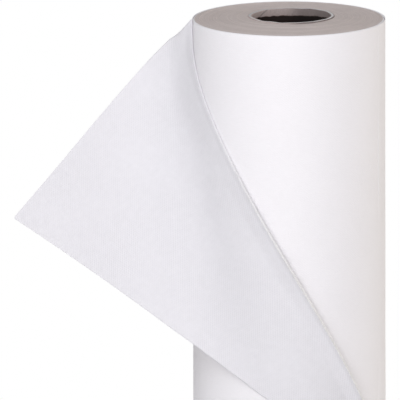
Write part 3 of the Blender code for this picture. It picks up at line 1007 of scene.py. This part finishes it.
def board_wall_material(tint):
    """Walls of the tube: spiral seams of its plies, and painted shadow in the bore except near its ends; the
    painted shadow reaches the rim at the front and starts lower at the back.
    """
    finish, grain, tone = board_finish("Paperboard wall")
    place = finish.position()
    x, y, z = finish.split(place)
    # Painted shadow in the bore, below a ragged edge which lies deeper at the back
    ragged = (finish.noise(place, 260.0, 3.0) - 0.5) * BORE_SHADOW_RAGGED
    depth = finish.math("MINIMUM", TUBE_PROUD + ROLL_LENGTH - z, z - TUBE_PROUD)
    depth -= (y - TUBE_AXIS.y) * BORE_SHADOW_SLANT + ragged
    places = finish.scaled(place, (1.0, 1.0, 0.0)), (*TUBE_AXIS, 0.0)
    reach = finish.value("ShaderNodeVectorMath", places, "Value", operation="DISTANCE")
    bore_shadow = depth.stepped(*BORE_SHADOW_EDGE) * reach.ranged(*BORE_SHADOW_INSIDE)
    dark, green, blue = BORE_SHADOW_SHADES
    tone *= bore_shadow.shade(dark)
    # Lighter towards the left, darker towards the right
    tone *= (x - TUBE_AXIS.x).stepped(-0.007, 0.008, 1.36, 0.66)
    turned, risen, _ = finish.split(finish.flat())
    seam = finish.math("ABSOLUTE", finish.math("FRACT", turned + risen) - 0.5).stepped(*SEAM_EDGE)
    tone *= seam.shade(0.72)
    finish.paint(tint, tone, tone * bore_shadow.shade(green), tone * bore_shadow.shade(blue))
    finish.relief(grain - seam * SEAM_DEPTH, 0.5, 0.1 * MM)
    return finish.material


def adhesive_material(tint):
    """Yellowed adhesive film with small wrinkles."""
    finish = Finish("Adhesive strip")
    wrinkle = finish.noise(finish.scaled(finish.position(), (1.0, 1.0, 0.2)), 320.0, 4.0)
    finish.paint(tint, wrinkle.ranged(*NOISE_NARROW, 0.92, 1.05))
    finish.roughness(wrinkle.ranged(*NOISE_NARROW, 0.35, 0.55))
    finish.relief(wrinkle, 0.4, 0.1 * MM)
    return finish.material


def floor_material(tint):
    """Matt white that fades into the background towards the disc's edge."""
    finish = Finish("Studio floor", Roughness=0.95, Specular_IOR_Level=0.0)
    place = finish.position()
    finish.paint(tint, finish.noise(place, 60.0, 2.0).ranged(*NOISE_NARROW, 0.99, 1.01))
    reach = finish.value("ShaderNodeVectorMath", [place], "Value", operation="LENGTH")
    seen = Value(finish, finish.node("ShaderNodeLightPath").outputs["Is Camera Ray"])
    glow = finish.node("ShaderNodeEmission", Color=WHITE, Strength=1.0).outputs[0]
    lift = finish.node("ShaderNodeEmission", Color=WHITE, Strength=seen * FLOOR_LIFT).outputs[0]
    pale = finish.value("ShaderNodeAddShader", (finish.shader.outputs[0], lift))
    mix = finish.value("ShaderNodeMixShader", (reach.stepped(*FLOOR_FADE) * seen, pale, glow))
    finish.feed(finish.tree.nodes["Material Output"].inputs["Surface"], mix)
    return finish.material


class FLEECE_OT_wound_turns(bpy.types.Operator):
    """Build the wound turns with their end faces"""

    bl_idname = "fleece_roll.wound_turns"
    bl_label = "Wound turns"

    def execute(self, context):
        colours = context.scene.fleece_colours
        side = fleece_material("Wound fleece", colours.wound, cloud=0.006, bonding=0.015, softness=0.0)
        mesh = build_wound_mesh(context.scene.fleece_sizes)
        piece = add_piece("wound_turns", mesh, [side, edges_material(colours.edges)])
        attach(piece, "roll")
        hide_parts("wound_fleece")
        return {"FINISHED"}


class FLEECE_OT_loose_sheet(bpy.types.Operator):
    """Build the outermost turn, its fold and the free corner as one sheet"""

    bl_idname = "fleece_roll.loose_sheet"
    bl_label = "Loose sheet"

    def execute(self, context):
        sizes = context.scene.fleece_sizes
        colours = context.scene.fleece_colours
        single = fleece_material("Spunbond fleece", colours.fleece, cloud=0.020, bonding=0.045, softness=0.2)
        layered = bpy.data.materials["Wound fleece"]
        piece = add_piece("loose_sheet", build_sheet_mesh(sizes), [single, layered])
        wall = piece.modifiers.new("thickness", "SOLIDIFY")
        wall.thickness = sizes.sheet_thickness
        wall.offset = 0.0
        wall.use_even_offset = False
        apply_modifiers(piece)
        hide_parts("outer_turn", "turned_back_panel", "loose_corner")
        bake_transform(piece)
        return {"FINISHED"}


def apply_modifiers(piece):
    graph = bpy.context.evaluated_depsgraph_get()
    mesh = bpy.data.meshes.new_from_object(piece.evaluated_get(graph))
    piece.modifiers.clear()
    piece.data = mesh


class FLEECE_OT_paper_tube(bpy.types.Operator):
    """Build the paper tube and finish the strip on it"""

    bl_idname = "fleece_roll.paper_tube"
    bl_label = "Paper tube"

    def execute(self, context):
        colours = context.scene.fleece_colours
        wall = board_wall_material(colours.board)
        rim = board_rim_material(colours.board_rim)
        mesh = build_tube_mesh(context.scene.fleece_sizes)
        piece = add_piece("paper_tube", mesh, [wall, rim])
        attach(piece, "roll")
        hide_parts("core_tube")
        strip = frame["nodes"]["start_tape"]
        strip.data.materials.clear()
        strip.data.materials.append(adhesive_material(colours.adhesive))
        return {"FINISHED"}


class FLEECE_OT_studio(bpy.types.Operator):
    """Set the floor, the lamps, the world and the camera"""

    bl_idname = "fleece_roll.studio"
    bl_label = "Studio"

    def execute(self, context):
        scene = context.scene
        scene.view_settings.view_transform = "Standard"
        shape = bmesh.new()
        bmesh.ops.create_circle(shape, cap_ends=True, segments=FLOOR_STEPS, radius=FLOOR_RADIUS)
        finish = floor_material(scene.fleece_colours.floor)
        floor = add_piece("floor", made_mesh(shape, "floor"), [finish])
        floor.location = (AXIS.x, AXIS.y, -FLOOR_DROP)
        for lamp in LAMPS:
            add_lamp(*lamp)
        set_world()
        add_camera(scene)
        return {"FINISHED"}


def aim(obj, target):
    obj.rotation_euler = (Vector(target) - obj.location).to_track_quat("-Z", "Y").to_euler()


def add_lamp(name, place, size, power, tint):
    light = bpy.data.lights.new(name, "AREA")
    light.color = tint
    light.size = size
    light.energy = power
    lamp = bpy.data.objects.new(name, light)
    lamp.location = place
    aim(lamp, LAMP_TARGET)
    bpy.context.collection.objects.link(lamp)


def set_world():
    """White to the camera, and to the pieces a soft light that comes mostly from the viewer's side."""
    world = bpy.data.worlds.new("studio")
    bpy.context.scene.world = world
    world.use_nodes = True
    graph = Graph(world.node_tree)
    path = graph.node("ShaderNodeLightPath").outputs
    seen = graph.math("MAXIMUM", path["Is Camera Ray"], path["Is Glossy Ray"])
    seen = graph.math("MAXIMUM", seen, path["Is Transmission Ray"])
    _, ahead, _ = graph.split(graph.node("ShaderNodeTexCoord").outputs["Generated"])
    light = ahead.ranged(-1.0, 0.0, EVEN_LIGHT + FRONT_LIGHT, EVEN_LIGHT)
    light += ahead.ranged(0.0, 1.0, 0.0, BACK_LIGHT)
    background = world.node_tree.nodes["Background"]
    graph.feed(background.inputs["Color"], graph.blend(seen, EVEN_COLOUR, WHITE))
    graph.feed(background.inputs["Strength"], seen.ranged(0.0, 1.0, light, 1.0))


def add_camera(scene):
    data = bpy.data.cameras.new("camera")
    data.sensor_width = SENSOR
    data.lens = SENSOR * CAMERA_DISTANCE / FIELD_WIDTH
    data.clip_end = CAMERA_SIGHT
    camera = bpy.data.objects.new("camera", data)
    away = Vector((0.0, -math.cos(CAMERA_RISE), math.sin(CAMERA_RISE)))
    camera.location = Vector(CAMERA_TARGET) + away * CAMERA_DISTANCE
    aim(camera, CAMERA_TARGET)
    camera.rotation_euler.rotate_axis("Z", CAMERA_ROLL)
    scene.collection.objects.link(camera)
    scene.camera = camera


class FLEECE_PT_panel(bpy.types.Panel):
    """The roll's pieces, sizes and colours"""

    bl_label = "Fleece Roll"
    bl_idname = "FLEECE_PT_panel"
    bl_space_type = "VIEW_3D"
    bl_region_type = "UI"
    bl_category = "Fleece Roll"

    def draw(self, context):
        layout = self.layout
        for group in (context.scene.fleece_sizes, context.scene.fleece_colours):
            box = layout.box()
            for name in group.bl_rna.properties.keys():
                if name not in ("rna_type", "name"):
                    box.prop(group, name)
        for operator in OPERATORS:
            layout.operator(operator.bl_idname)


OPERATORS = (FLEECE_OT_wound_turns, FLEECE_OT_paper_tube, FLEECE_OT_loose_sheet, FLEECE_OT_studio)
CLASSES = (FleeceRollSizes, FleeceRollColours, *OPERATORS, FLEECE_PT_panel)


def register():
    for cls in CLASSES:
        bpy.utils.register_class(cls)
    bpy.types.Scene.fleece_sizes = PointerProperty(type=FleeceRollSizes)
    bpy.types.Scene.fleece_colours = PointerProperty(type=FleeceRollColours)


def unregister():
    del bpy.types.Scene.fleece_colours
    del bpy.types.Scene.fleece_sizes
    for cls in reversed(CLASSES):
        bpy.utils.unregister_class(cls)


def main():
    register()
    for piece in ("wound_turns", "paper_tube", "loose_sheet", "studio"):
        getattr(bpy.ops.fleece_roll, piece)()


if __name__ == "__main__":
    main()
